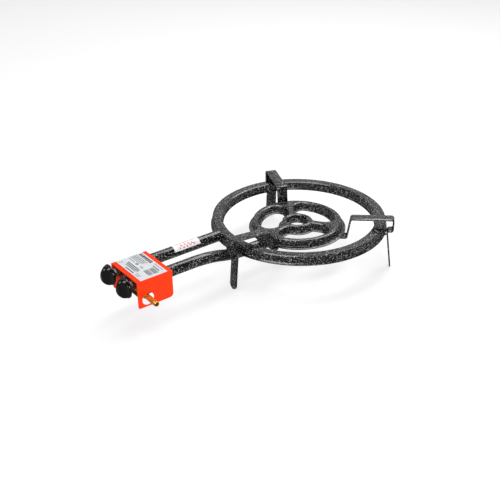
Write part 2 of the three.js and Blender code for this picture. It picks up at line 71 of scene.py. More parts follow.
class Nodes:
    """A material's node tree with short ways to add nodes and join them."""

    def __init__(self, name):
        self.material = bpy.data.materials.new(name)
        self.material.use_nodes = True
        self.tree = self.material.node_tree
        self.shader = self.tree.nodes["Principled BSDF"]
        self.coords = self.add("ShaderNodeTexCoord").outputs["Object"]

    def add(self, kind, **settings):
        node = self.tree.nodes.new(kind)
        for key, value in settings.items():
            setattr(node, key, value)
        return node

    def link(self, source, target):
        self.tree.links.new(source, target)

    def set(self, socket, value):
        """Joins a socket to another one, or gives it a plain value."""
        if isinstance(value, bpy.types.NodeSocket):
            self.link(value, socket)
        else:
            socket.default_value = value

    def feed(self, node, **values):
        for key, value in values.items():
            self.set(node.inputs[key.replace("_", " ")], value)
        return node

    def surface(self, **values):
        """Sets the shader and returns the material."""
        self.feed(self.shader, **values)
        return self.material

    def noise(self, scale, detail=2.0, roughness=0.5, coords=None):
        node = self.add("ShaderNodeTexNoise")
        self.feed(node, Vector=coords or self.coords, Scale=scale, Detail=detail, Roughness=roughness)
        return node.outputs["Fac"]

    def voronoi(self, scale):
        return self.feed(self.add("ShaderNodeTexVoronoi"), Vector=self.coords, Scale=scale).outputs

    def specks(self, scale, largest, share):
        """Round spots of random size, one in each cell, in a share of the cells."""
        cells = self.voronoi(scale)
        chance = self.add("ShaderNodeSeparateColor")
        self.link(cells["Color"], chance.inputs[0])
        radius = self.ramp(chance.outputs[0], 0.0, 1.0, largest * 0.35, largest)
        kept = self.math("LESS_THAN", chance.outputs[1], share)
        wobble = self.math("MULTIPLY", self.noise(scale * 2.2, 2.0), 0.25)
        edge = self.math("SUBTRACT", self.math("ADD", cells["Distance"], wobble), radius)
        return self.math("MULTIPLY", self.ramp(edge, 0.09, 0.15, 1.0, 0.0), kept)

    def ramp(self, value, low, high, bottom=0.0, top=1.0):
        node = self.add("ShaderNodeMapRange", interpolation_type="SMOOTHSTEP")
        names = ("Value", "From Min", "From Max", "To Min", "To Max")
        for name, setting in zip(names, (value, low, high, bottom, top)):
            self.set(node.inputs[name], setting)
        return node.outputs["Result"]

    def math(self, operation, a, b=0.0):
        node = self.add("ShaderNodeMath", operation=operation)
        for socket, value in zip(node.inputs, (a, b)):
            self.set(socket, value)
        return node.outputs[0]

    def mix(self, share, first, second):
        node = self.add("ShaderNodeMix", data_type="RGBA")
        for socket, value in zip((node.inputs[0], node.inputs[6], node.inputs[7]), (share, first, second)):
            self.set(socket, value)
        return node.outputs[2]

    def bump(self, height, distance, strength):
        node = self.add("ShaderNodeBump")
        return self.feed(node, Height=height, Distance=distance, Strength=strength).outputs["Normal"]


def rgb(r, g, b):
    """An sRGB colour, 0 to 255, as linear RGBA."""

    def linear(c):
        c /= 255
        return c / 12.92 if c <= 0.04045 else ((c + 0.055) / 1.055) ** 2.4

    return (linear(r), linear(g), linear(b), 1.0)


def enamel():
    """Black vitreous enamel with a fine splatter of pale grey."""
    n = Nodes("speckled_enamel")
    large = n.specks(410, 0.32, 0.5)
    small = n.specks(760, 0.4, 0.28)
    specks = n.math("MAXIMUM", large, n.math("MULTIPLY", small, 0.8))
    colour = n.mix(specks, rgb(6, 6, 7), rgb(222, 222, 225))
    height = n.math("ADD", n.noise(160, 2.0, 0.5), n.math("MULTIPLY", specks, 0.3))
    rough = n.ramp(n.noise(260, 3.0), 0.3, 0.7, 0.1, 0.2)
    normal = n.bump(height, 0.00014, 0.5)
    return n.surface(Base_Color=colour, Roughness=rough, Normal=normal, Specular_IOR_Level=0.7)


def powder_coat():
    """Orange-red powder coat with a faint orange-peel surface."""
    n = Nodes("orange_powder_coat")
    tint = n.ramp(n.noise(45, 3.0), 0.3, 0.7)
    colour = n.mix(tint, rgb(255, 57, 10), rgb(255, 64, 15))
    normal = n.bump(n.noise(1400, 2.0, 0.6), 0.00006, 0.5)
    rough = n.ramp(n.noise(500, 2.0), 0.3, 0.7, 0.4, 0.52)
    return n.surface(Base_Color=colour, Roughness=rough, Normal=normal, Specular_IOR_Level=0.12)


def brass(name, dull_and_shaded):
    """Machined brass. Dull brass is the plain casting of the taps and rail, rougher, and darker in colour as
    painted shade for its place under the cover.
    """
    n = Nodes(name)
    stretched = n.add("ShaderNodeMapping")
    n.feed(stretched, Vector=n.coords, Scale=(1.0, 0.12, 1.0))
    lathe_marks = n.noise(5000, 2.0, 0.5, stretched.outputs["Vector"])
    stain = n.ramp(n.noise(140, 3.0), 0.35, 0.75)
    # Painted shade: the dull colour is darker, for the brass that sits under the cover.
    colour = n.mix(stain, rgb(226, 178, 84), rgb(196, 142, 58))
    if not dull_and_shaded:
        colour = n.mix(stain, rgb(252, 204, 96), rgb(232, 178, 70))
    base = 0.32 if dull_and_shaded else 0.16
    rough = n.ramp(n.noise(700, 2.0), 0.3, 0.7, base, base + 0.12)
    normal = n.bump(lathe_marks, 0.00003, 0.4)
    return n.surface(Base_Color=colour, Metallic=1.0 if dull_and_shaded else 0.8, Roughness=rough, Normal=normal)


def nickel():
    """Dull nickel plate over the cast taps, its grey darkened as painted shade for its place under the cover.
    """
    n = Nodes("dull_nickel_plate_painted_shade")
    stain = n.ramp(n.noise(170, 3.0), 0.35, 0.75)
    # Painted shade: a darker grey than bare nickel, for the taps under the cover.
    colour = n.mix(stain, rgb(150, 151, 152), rgb(116, 116, 115))
    rough = n.ramp(n.noise(600, 2.0), 0.3, 0.7, 0.3, 0.44)
    normal = n.bump(n.noise(1200, 3.0), 0.00004, 0.5)
    return n.surface(Base_Color=colour, Metallic=1.0, Roughness=rough, Normal=normal)


def steel():
    """Zinc-plated sheet and wire."""
    n = Nodes("zinc_plated_steel")
    grey = n.add("ShaderNodeRGBToBW")
    n.link(n.voronoi(260)["Color"], grey.inputs[0])
    colour = n.mix(n.math("MULTIPLY", grey.outputs[0], 0.5), rgb(176, 178, 180), rgb(140, 143, 147))
    rough = n.ramp(n.noise(300, 3.0), 0.3, 0.7, 0.26, 0.42)
    normal = n.bump(n.noise(900), 0.00003, 0.4)
    return n.surface(Base_Color=colour, Metallic=1.0, Roughness=rough, Normal=normal)


def knob_plastic():
    """Glossy black moulded plastic with faint handling marks."""
    n = Nodes("glossy_black_plastic")
    smear = n.ramp(n.noise(90, 4.0, 0.6), 0.35, 0.75)
    rough = n.ramp(smear, 0.0, 1.0, 0.03, 0.08)
    colour = n.mix(smear, rgb(4, 4, 5), rgb(7, 7, 8))
    return n.surface(Base_Color=colour, Roughness=rough, Normal=n.bump(n.noise(400, 2.0), 0.00002, 0.25))


def foil(name, colour, metal):
    """A printed sticker's pale film."""
    n = Nodes(name)
    shade = n.ramp(n.noise(70, 3.0), 0.3, 0.7)
    darker = tuple(c * 0.93 for c in colour[:3]) + (1.0,)
    rough = n.ramp(n.noise(350, 2.0), 0.3, 0.7, 0.34, 0.48)
    colour = n.mix(shade, colour, darker)
    normal = n.bump(n.noise(220, 2.0), 0.00004, 0.4)
    return n.surface(Base_Color=colour, Metallic=metal, Roughness=rough, Normal=normal)


def ink(name, colour):
    """Screen-printed ink, a little uneven."""
    n = Nodes(name)
    lighter = tuple(min(1.0, c * 1.25 + 0.02) for c in colour[:3]) + (1.0,)
    colour = n.mix(n.ramp(n.noise(1500, 2.0), 0.45, 0.75), colour, lighter)
    return n.surface(Base_Color=colour, Roughness=n.ramp(n.noise(500), 0.3, 0.7, 0.45, 0.6))


def fibre():
    """Red fibre gasket."""
    n = Nodes("red_fibre")
    colour = n.mix(n.noise(900, 4.0, 0.7), rgb(120, 44, 34), rgb(150, 66, 48))
    return n.surface(Base_Color=colour, Roughness=0.85, Normal=n.bump(n.noise(2500, 3.0), 0.00008, 0.6))


def painted_port_shade():
    """Painted shade: near black for the unlit inside of a gas port and the sheet that closes it."""
    n = Nodes("port_inside")
    return n.surface(Base_Color=n.mix(n.noise(800), rgb(5, 5, 5), rgb(14, 14, 14)), Roughness=0.9)


ENAMEL = enamel()
ORANGE = powder_coat()
BRASS = brass("polished_brass", dull_and_shaded=False)
CAST_BRASS_IN_SHADE = brass("machined_brass_painted_shade", dull_and_shaded=True)
NICKEL_IN_SHADE = nickel()
STEEL = steel()
PLASTIC = knob_plastic()
FOIL = foil("pale_foil", rgb(222, 225, 228), 0.1)
PAPER = foil("white_film", rgb(244, 243, 242), 0.0)
GREY_INK = ink("grey_ink", rgb(96, 100, 106))
BLACK_INK = ink("black_ink", rgb(12, 12, 13))
RED_INK = ink("red_ink", rgb(205, 30, 38))
FIBRE = fibre()
# painted shade, near black, inside the gas ports
PORT_SHADE = painted_port_shade()

# -------- mesh helpers


def finish_piece(name, bm, materials, body="stand", stands_for=(), bevel=None, angle=35):
    """Turns a bmesh in the row frame into a named piece that rides on a body."""
    bmesh.ops.remove_doubles(bm, verts=bm.verts, dist=1e-7)
    bmesh.ops.recalc_face_normals(bm, faces=bm.faces)
    mesh = bpy.data.meshes.new(name)
    bm.to_mesh(mesh)
    bm.free()
    for material in materials:
        mesh.materials.append(material)
    mesh.shade_smooth()
    mesh.set_sharp_from_angle(angle=radians(angle))
    piece = bpy.data.objects.new(name, mesh)
    bpy.context.scene.collection.objects.link(piece)
    if bevel:
        add_bevel(piece, bevel, angle)
    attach(piece, body)
    if stands_for:
        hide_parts(*stands_for)
    return piece


def add_bevel(piece, width, angle=35, segments=3):
    modifier = piece.modifiers.new("worn_edges", "BEVEL")
    modifier.width = width * MM
    modifier.segments = segments
    modifier.limit_method = "ANGLE"
    modifier.angle_limit = radians(angle)
    modifier.harden_normals = True


def add_loops(bm, loops, cap=False, material=0):
    """Skins a list of equal closed loops of points in the row frame. cap closes both ends."""
    rows = [[bm.verts.new(p) for p in loop] for loop in loops]
    count = len(rows[0])
    for a, b in zip(rows, rows[1:]):
        for i in range(count):
            j = (i + 1) % count
            bm.faces.new((a[i], a[j], b[j], b[i])).material_index = material
    if cap:
        for row in (rows[0], rows[-1]):
            bm.faces.new(row).material_index = material


def arc(cx, cy, r, start, end, count):
    """Points along an arc, both ends included."""
    step = (end - start) / count
    return [(cx + r * cos(start + step * i), cy + r * sin(start + step * i)) for i in range(count + 1)]


def lathe(bm, profile, segments, to_row, open_ends=False):
    """Turns a profile of (radius, height) that is closed, runs from axis to axis or has open_ends.
    to_row maps (a, b, height) to the row frame."""
    rows = []
    for i in range(segments):
        c, s = cos(TAU * i / segments), sin(TAU * i / segments)
        rows.append([bm.verts.new(to_row(r * c, r * s, h)) for r, h in profile])
    closed = not open_ends and (profile[0][0] > 0 or profile[-1][0] > 0)
    count = len(profile)
    for i in range(segments):
        a, b = rows[i], rows[(i + 1) % segments]
        for k in range(count if closed else count - 1):
            m = (k + 1) % count
            corners = [a[k], a[m], b[m], b[k]]
            if profile[k][0] == 0:
                corners = [a[k], a[m], b[m]]
            elif profile[m][0] == 0:
                corners = [a[k], a[m], b[k]]
            bm.faces.new(corners)


def rounded(points, radius, steps=6, closed=False):
    """A 2D line with its inner corners rounded. radius may be one number or one for each corner."""
    result = []
    count = len(points)
    for i, p in enumerate(points):
        r = radius[i] if isinstance(radius, (list, tuple)) else radius
        if (not closed and i in (0, count - 1)) or r == 0:
            result.append(p)
            continue
        before, here, after = Vector(points[i - 1]), Vector(p), Vector(points[(i + 1) % count])
        a, b = (here - before).normalized(), (after - here).normalized()
        turn = atan2(a.x * b.y - a.y * b.x, a.dot(b))
        if abs(turn) < 1e-6:
            result.append(p)
            continue
        reach = r * tan(abs(turn) / 2)
        side = 1 if turn > 0 else -1
        start = here - a * reach
        centre = start + Vector((-a.y, a.x)) * side * r
        spoke = start - centre
        for k in range(steps + 1):
            t = turn * k / steps
            c, s = cos(t), sin(t)
            result.append((centre.x + spoke.x * c - spoke.y * s, centre.y + spoke.x * s + spoke.y * c))
    return result


def fill(bm, outlines, to_row):
    """Fills a 2D outline with holes. The first outline is the outer one."""
    points, edges, faces = [], [], []
    for outline in outlines:
        start = len(points)
        points += [Vector(p) for p in outline]
        ring = list(range(start, len(points)))
        edges += [(ring[i], ring[(i + 1) % len(ring)]) for i in range(len(ring))]
        faces.append(ring)
    made = delaunay_2d_cdt(points, edges, [], 1, 1e-6)
    verts = [bm.verts.new(to_row(p.x, p.y)) for p in made[0]]
    for triangle in made[2]:
        middle = sum((made[0][k] for k in triangle), Vector((0, 0))) / 3
        if inside(middle, outlines[0]) and not any(inside(middle, hole) for hole in outlines[1:]):
            bm.faces.new([verts[k] for k in triangle])


def inside(p, outline):
    crossings = False
    for (x0, y0), (x1, y1) in zip(outline, outline[1:] + outline[:1]):
        if (y0 > p.y) != (y1 > p.y) and p.x < (x1 - x0) * (p.y - y0) / (y1 - y0) + x0:
            crossings = not crossings
    return crossings


# -------- outer ring

RING_STEPS = 288
RING_OUT, RING_IN = 200, 171.5
WALL_OUT, WALL_IN = 196, 173.6
STEPS_PER_PORT = 3
PORT_R = 0.95
PORT_DROP = 0.9
PORT_CELL = 1.6
PORT_SIDES = 12
SHEET = 1.2


def punched_wall(bm, radius, low, high, facing):
    """A cylinder wall with round gas ports let into it. facing is 1 for a wall seen from outside."""
    middle = high - PORT_DROP - PORT_R

    def at(angle, z, depth=0.0):
        r = radius - facing * depth
        return place(r * cos(angle), r * sin(angle), z)

    for i in range(RING_STEPS):
        a, b = TAU * i / RING_STEPS, TAU * (i + 1) / RING_STEPS
        cell_low, cell_high = middle - PORT_CELL, high
        bm.faces.new([bm.verts.new(p) for p in (at(a, low), at(b, low), at(b, cell_low), at(a, cell_low))])
        if i % STEPS_PER_PORT:
            corners = (at(a, cell_low), at(b, cell_low), at(b, cell_high), at(a, cell_high))
            bm.faces.new([bm.verts.new(p) for p in corners])
            continue
        centre = (a + b) / 2
        rim = []
        for k in range(PORT_SIDES):
            t = TAU * (k + 0.5) / PORT_SIDES
            rim.append((centre + PORT_R * cos(t) / radius, middle + PORT_R * sin(t)))
        square = [(b, cell_low), (b, cell_high), (a, cell_high), (a, cell_low)]
        corner = [bm.verts.new(at(*p)) for p in square]
        mouth = [bm.verts.new(at(*p)) for p in rim]
        floor = [bm.verts.new(at(*p, depth=SHEET)) for p in rim]
        # the rim's points from -45 degrees round, in four quarters, one for each side of the cell
        order = [mouth[k - 2] for k in range(PORT_SIDES)]
        for q in range(4):
            first, last = corner[q], corner[(q + 1) % 4]
            quarter = [order[(3 * q + k) % PORT_SIDES] for k in range(4)]
            bm.faces.new((first, last, quarter[3], quarter[2]))
            bm.faces.new((first, quarter[2], quarter[1]))
            bm.faces.new((first, quarter[1], quarter[0]))
        # The port's sides and the sheet that closes it behind the wall take the second material, near black
        # as painted shade.
        for k in range(PORT_SIDES):
            m = (k + 1) % PORT_SIDES
            bm.faces.new((mouth[k], mouth[m], floor[m], floor[k])).material_index = 1
        bm.faces.new(floor).material_index = 1


def outer_ring():
    """The pressed hood, with a faceted crown over two punched walls, and the plate that closes it below."""
    wall_low, wall_top = 3.4, 16.3
    shoulder, top = 16.9, 18.6
    facet = 2.8
    crest = (WALL_OUT + WALL_IN) / 2
    soft = 0.7
    outside = [(WALL_OUT, wall_top), (WALL_OUT, shoulder), (WALL_OUT - facet, top), (crest, top)]
    inside_half = [(crest, top), (WALL_IN + facet, top), (WALL_IN, shoulder), (WALL_IN, wall_top)]
    crown = rounded(outside, [0, soft, soft, 0], 4) + rounded(inside_half, [0, soft, soft, 0], 4)[1:]
    flange = [(RING_OUT, 0.2), (199.8, 0.6), (197, 2.4), (WALL_OUT, 2.9), (WALL_OUT, wall_low)]
    lip = [(WALL_IN, wall_low), (WALL_IN, 3.0), (173.2, 2.2), (171.7, 0.8), (RING_IN, 0.2)]
    in_r, out_r = WALL_IN + SHEET, WALL_OUT - SHEET
    ceiling = top - SHEET
    underside = [(RING_IN, 0.2), (171.7, 0), (in_r, 0), (in_r, 16.4), (175.6, ceiling), (194, ceiling)]
    underside += [(out_r, 16.4), (out_r, 0), (199.8, 0), (RING_OUT, 0.2)]
    flange = rounded(flange, [0, 0.3, 0.8, 0.3, 0], 3)
    lip = rounded(lip, [0, 0.3, 0.4, 0.2, 0], 3)
    bm = bmesh.new()
    for profile in (crown, flange, lip, underside):
        lathe(bm, profile, RING_STEPS, place, open_ends=True)
    punched_wall(bm, WALL_OUT, wall_low, wall_top, 1)
    punched_wall(bm, WALL_IN, wall_low, wall_top, -1)
    finish_piece("outer_ring_shell", bm, [ENAMEL, PORT_SHADE], stands_for=["outer_ring_hood"])

    gap, plate_low = -0.3, -1.5
    bm = bmesh.new()
    edge = [(RING_IN, gap), (RING_IN, plate_low), (RING_OUT, plate_low), (RING_OUT, gap)]
    lathe(bm, rounded(edge, 0.35, 3, closed=True), RING_STEPS, place)
    finish_piece("outer_ring_plate", bm, [ENAMEL], stands_for=["outer_ring_base"])


# -------- inner burner

SPOKES = [radians(a) for a in (66.5, 186, 305.5)]
INNER_X, INNER_Y = -2.2, 1.6
INNER_LOW = -11.85
INNER_HIGH = 5.15
# Radii of the rim, its inside, the hub and its hole, the spoke's half width, and the two corner radii
# of an opening. RIM is how far each lies further out on the flange at the foot of the walls.
WHEEL = dict(out=101.5, ring=88.8, hub=34.0, hole=23.6, spoke=7.8, big=24.0, small=11.0)
RIM = dict(out=9.0, ring=-6.5, hub=8.5, hole=-4.3, spoke=7.0, big=-7.0, small=-8.5)


def place_inner(x, y, z):
    return place(INNER_X + x, INNER_Y + y, z)


def grown(d):
    """The change that widens the wheel's metal by d on every side."""
    return dict(out=d, ring=-d, hub=d, hole=-d, spoke=d, big=-d, small=-d)


def spun(x, y, angle):
    c, s = cos(angle), sin(angle)
    return x * c - y * s, x * s + y * c


def wheel(change, share=1.0):
    """The wheel's outline, its three openings and its hole, with a share of a change made to each size."""
    w = {key: WHEEL[key] + share * change[key] for key in WHEEL}
    outlines = [arc(0, 0, w["out"], 0, TAU, 168)[:-1]]
    for i, start in enumerate(SPOKES):
        end = SPOKES[(i + 1) % 3] + (TAU if i == 2 else 0)
        ring_y, hub_y = w["spoke"] + w["big"], w["spoke"] + w["small"]
        ring_x = sqrt((w["ring"] - w["big"]) ** 2 - ring_y**2)
        hub_x = sqrt((w["hub"] + w["small"]) ** 2 - hub_y**2)
        ring_turn, hub_turn = atan2(ring_y, ring_x), atan2(hub_y, hub_x)
        quarter = pi / 2
        ring_a, ring_b = spun(ring_x, ring_y, start), spun(ring_x, -ring_y, end)
        hub_a, hub_b = spun(hub_x, hub_y, start), spun(hub_x, -hub_y, end)
        outline = arc(*ring_a, w["big"], start - quarter, start + ring_turn, 16)
        outline += arc(0, 0, w["ring"], start + ring_turn, end - ring_turn, 20)[1:-1]
        outline += arc(*ring_b, w["big"], end - ring_turn, end + quarter, 16)
        outline += arc(*hub_b, w["small"], end + quarter, end + pi - hub_turn, 10)
        outline += arc(0, 0, w["hub"], end - hub_turn, start + hub_turn, 12)[1:-1]
        outline += arc(*hub_a, w["small"], start + pi + hub_turn, start + pi + quarter, 10)
        outlines.append(outline)
    outlines.append(arc(0, 0, w["hole"], 0, TAU, 72)[:-1])
    return outlines


def stacked(bm, layers):
    """Skins wheel outlines from layer to layer and fills both ends. A layer is (outlines, height)."""
    for (low, z0), (high, z1) in zip(layers, layers[1:]):
        for a, b in zip(low, high):
            add_loops(bm, [[place_inner(*p, z0) for p in a], [place_inner(*p, z1) for p in b]])
    for outlines, z in (layers[-1], layers[0]):
        fill(bm, outlines, lambda x, y: place_inner(x, y, z))


def inner_burner():
    """The pressed hood, skinned from its hollow inside over the flange to the crown, and its plate."""
    low, high = INNER_LOW, INNER_HIGH
    flange_top = low + 1.7
    layers = [(wheel(grown(-SHEET)), high - SHEET), (wheel(grown(-SHEET)), low)]
    layers += [(wheel(RIM, 0.995), low), (wheel(RIM), low + 0.2), (wheel(RIM, 0.98), low + 0.5)]
    layers += [(wheel(RIM, 0.68), low + 1.6), (wheel(RIM, 0.6), flange_top)]
    root, root_share, root_steps = 2.8, 0.3, 6
    for k in range(root_steps + 1):
        t = pi / 2 * k / root_steps
        layers.append((wheel(RIM, root_share * (1 - sin(t))), flange_top + root * (1 - cos(t))))
    crown = ((0, 2.2), (0.1, 1.8), (0.4, 1.5), (2.7, 0.3), (3.1, 0.15), (3.6, 0))
    for inset, drop in crown:
        layers.append((wheel(grown(-inset)), high - drop))
    bm = bmesh.new()
    stacked(bm, layers)
    finish_piece("inner_burner_shell", bm, [ENAMEL, PORT_SHADE], stands_for=["inner_burner_hood"])

    plate_low, plate_high, edge = low - 1.5, low - 0.3, 0.3
    layers = [(wheel(RIM, 0.97), plate_low), (wheel(RIM), plate_low + edge)]
    layers += [(wheel(RIM), plate_high - edge), (wheel(RIM, 0.97), plate_high)]
    bm = bmesh.new()
    stacked(bm, layers)
    finish_piece("inner_burner_plate", bm, [ENAMEL], stands_for=["inner_burner_base"])


# -------- mixing tubes

TUBE_R = 12.5
TUBE_BORE = 11.0
TUBE_Z = 10.0
BACK_Y = 42.5
FRONT_Y = -20.5
TUBE_START = -402.0


def swept_tube(bm, points, ring_cut=None):
    """A tube along points, with a rounded mouth at its start. ring_cut trims its end to a radius, and
    without it the end is closed."""
    path = [Vector(p) for p in points]
    last = len(path) - 1
    sides = 48

    def loop(i, r, shift=0.0):
        """The tube's section at a point of the path, moved forward by shift."""
        along = (path[min(i + 1, last)] - path[max(i - 1, 0)]).normalized()
        side = along.cross(Vector((0, 0, 1))).normalized()
        up = side.cross(along)
        ring = []
        for k in range(sides):
            t = TAU * k / sides
            p = path[i] + side * (r * cos(t)) + up * (r * sin(t)) + along * shift
            if ring_cut and i == last:
                p.x = -sqrt(ring_cut**2 - p.y**2)
            ring.append(place(*p))
        return ring

    mouth = 0.45
    inner_edge = TUBE_BORE + mouth * 0.4
    lip = [loop(0, inner_edge), loop(0, TUBE_R - mouth), loop(0, TUBE_R - mouth * 0.3, mouth * 0.3)]
    outside = [loop(i, TUBE_R) for i in range(1, last + 1)]
    inside_loops = [loop(i, TUBE_BORE) for i in range(last, 0, -1)]
    if ring_cut:
        add_loops(bm, lip + outside + inside_loops + [loop(0, inner_edge)])
    else:
        end = [loop(last, TUBE_R * f, d) for f, d in ((0.97, 0.5), (0.9, 0.8), (0.5, 1.0), (0.02, 1.0))]
        add_loops(bm, lip + outside + end)
        add_loops(bm, [loop(last - 1, 0.02)] + inside_loops[1:] + [loop(0, inner_edge)])


def mixing_tubes():
    """The back tube runs straight to the outer ring. The front one dips under it to the inner burner."""
    bm = bmesh.new()
    line = [(TUBE_START + 12 * i, BACK_Y, TUBE_Z) for i in range(18)] + [(-193, BACK_Y, TUBE_Z)]
    swept_tube(bm, line, ring_cut=WALL_OUT + 0.4)
    finish_piece("back_mixing_tube", bm, [ENAMEL], stands_for=["outer_mixing_tube"])

    front_end, end_y, end_z = -84, 5, -26.2
    bend_start, bend_length = -310, 176
    steps = 74
    line = []
    for i in range(steps + 1):
        x = TUBE_START + (front_end - TUBE_START) * i / steps
        s = min(max((x - bend_start) / bend_length, 0), 1)
        share = 2 * s * s if s < 0.5 else 1 - 2 * (1 - s) ** 2
        line.append((x, FRONT_Y + (end_y - FRONT_Y) * share, TUBE_Z + (end_z - TUBE_Z) * share))
    bm = bmesh.new()
    swept_tube(bm, line)
    finish_piece("front_mixing_tube", bm, [ENAMEL], stands_for=["inner_mixing_tube"])


# -------- supports

STRIP_W = 25.0
STRIP_T = 3.0
FLOOR = -85.5
# x and y of the bar's outer end, the direction it points in degrees, and how far in the foot's tip stands
SUPPORTS = {
    "back": (78.5, 201.4, 68.7, 3.2),
    "right": (129, -172.5, -45.6, 0.9),
    "front": (-216, -30, 175.5, 6.5),
}
BAR = 94.3
PAN_LINE = 35.7
LEG_INSET = 13.4
SHOULDER = 7.5
RISER_FOOT = -101.4
TONGUE_END = -117.4


def support_spots(x, y, direction):
    """Maps (along the bar, across it, height) on the support that stands at x, y to the rings' axes."""
    angle = radians(direction)
    out, across = Vector((cos(angle), sin(angle))), Vector((-sin(angle), cos(angle)))

    def spot(s, w, z):
        flat = Vector((x, y)) + out * s + across * w
        return (flat.x, flat.y, z)

    return spot


def support_line(tip_inset):
    """The strip's middle line: tongue under the burner, riser, pan bar, drop, shoulder and leg."""
    under_burner = INNER_LOW - 3.3
    below = 8
    splay = (LEG_INSET - tip_inset) / (SHOULDER - FLOOR)
    corners = [(TONGUE_END, under_burner), (RISER_FOOT, under_burner), (-BAR, PAN_LINE - 4), (0, PAN_LINE)]
    corners += [(0, SHOULDER), (-LEG_INSET, SHOULDER), (-tip_inset + splay * below, FLOOR - below)]
    return rounded(corners, 5, 8)


def support_path(tip_inset):
    """The middle line in short steps, with the last ones closing in on the ground."""
    line = support_line(tip_inset)
    longest_step, tip_start, tip_steps = 6, FLOOR + 13, 24
    dense = [line[0]]
    for a, b in zip(line, line[1:]):
        steps = max(1, int((Vector(b) - Vector(a)).length / longest_step))
        dense += [tuple(Vector(a).lerp(Vector(b), (k + 1) / steps)) for k in range(steps)]
    while dense[-1][1] < tip_start:
        dense.pop()
    last = Vector(dense[-1])
    slope = (Vector(line[-1]) - Vector(line[-2])).normalized()
    for k in range(1, tip_steps + 1):
        z = last.y + (FLOOR - last.y) * sin(pi / 2 * k / tip_steps)
        dense.append((last.x + slope.x * (z - last.y) / slope.y, z))
    return dense


def supports():
    """Three bent flat bars with round feet."""
    tip_centre, narrowest = FLOOR + STRIP_W / 2, 1.8
    thin, soft = STRIP_T / 2, 0.55
    for name, (x, y, direction, tip_inset) in SUPPORTS.items():
        dense = support_path(tip_inset)
        spot = support_spots(x, y, direction)
        loops = []
        for i, p in enumerate(dense):
            here = Vector(p)
            before, after = Vector(dense[max(i - 1, 0)]), Vector(dense[min(i + 1, len(dense) - 1)])
            along = (after - before).normalized()
            normal = Vector((-along.y, along.x))
            if i == len(dense) - 1:
                normal = Vector((1, 0))
            half = STRIP_W / 2
            if here.y < tip_centre and i > len(dense) // 2:
                half = max(narrowest, sqrt(max(0.0, (STRIP_W / 2) ** 2 - (tip_centre - here.y) ** 2)))
            section = [(-half, -thin), (half, -thin), (half, thin), (-half, thin)]
            loop = []
            for w, t in rounded(section, soft, 3, closed=True):
                loop.append(place(*spot(here.x + normal.x * t, w, max(here.y + normal.y * t, FLOOR))))
            loops.append(loop)
        bm = bmesh.new()
        add_loops(bm, loops, cap=True)
        stands_for = [f"pan_support_{name}"]
        finish_piece(f"{name}_support_bar", bm, [ENAMEL], stands_for=stands_for, angle=50)


# -------- weld beads


def bead(bm, points, radius, seed):
    """A lumpy weld bead along points, in millimetres."""
    path = [Vector(points[0])]
    for a, b in zip(points, points[1:]):
        a, b = Vector(a), Vector(b)
        steps = max(2, int((b - a).length / 0.7))
        path += [a.lerp(b, (k + 1) / steps) for k in range(steps)]
    loops = []
    for i, p in enumerate(path):
        along = (path[min(i + 1, len(path) - 1)] - path[max(i - 1, 0)]).normalized()
        side = along.orthogonal().normalized()
        up = along.cross(side)
        end = min(i, len(path) - 1 - i)
        r = radius * (0.55 + 0.45 * min(1, end / 2)) * (0.9 + 0.16 * sin(i * 1.9 + seed))
        loop = []
        for k in range(10):
            t = TAU * k / 10
            q = p + side * (r * cos(t)) + up * (r * sin(t))
            loop.append(place(*(q + noise.noise_vector(q * 0.6 + Vector((seed, 0, 0))) * 0.25)))
        loops.append(loop)
    add_loops(bm, loops, cap=True)


def weld_beads():
    """Beads where each support meets both burners, and round the back tube where it meets the outer ring."""
    bm = bmesh.new()
    seed = 0
    tongue_z, tongue_edge_z, tongue_edge = INNER_LOW - 1.3, INNER_LOW - 1.6, STRIP_W / 2 + 0.1
    riser, inner_face = RISER_FOOT - 0.6, LEG_INSET + 0.4
    for x, y, direction, _ in SUPPORTS.values():
        spot = support_spots(x, y, direction)
        for w in (-9, 9):
            seed += 1
            bead(bm, [spot(riser, w - 3, tongue_z), spot(riser, w + 3, tongue_z)], 1.3, seed)
        for side in (-1, 1):
            seed += 1
            w = side * tongue_edge
            bead(bm, [spot(-115, w, tongue_edge_z), spot(-106, w, tongue_edge_z)], 1.2, seed)
        for side in (-1, 1):
            seed += 1
            edge = spot(-inner_face, side * 8, 0)
            reach = hypot(edge[0], edge[1]) - RING_OUT
            inset = inner_face + reach - 0.6
            bead(bm, [spot(-inset, side * 5, -0.2), spot(-inset, side * 11, -0.2)], 0.9 + reach / 2, seed)
    port = []
    around_tube = TUBE_R + 0.3
    for k in range(25):
        t = TAU * k / 24
        py, pz = BACK_Y + around_tube * cos(t), TUBE_Z + around_tube * sin(t)
        if 2.2 < pz < 17:
            port.append((-sqrt((WALL_OUT + 0.5) ** 2 - py**2), py, pz))
    for chain in split_chain(port):
        seed += 1
        bead(bm, chain, 1.0, seed)
    finish_piece("weld_beads", bm, [ENAMEL], angle=180)


def split_chain(points):
    """Parts a line of points where it jumps, and leaves out parts of one or two points."""
    jump = 5
    chains, current = [], [points[0]]
    for a, b in zip(points, points[1:]):
        if (Vector(a) - Vector(b)).length > jump:
            chains.append(current)
            current = []
        current.append(b)
    chains.append(current)
    return [c for c in chains if len(c) > 2]


# -------- control box

COVER_X = (-450.6, -368.6)
COVER_Y = (-42.5, 59.7)
COVER_Z = (-36.0, 25.0)
COVER_SHEET = 1.5
HOLE_X, HOLE_Z, HOLE_R = -427.2, -19.5, 13.75


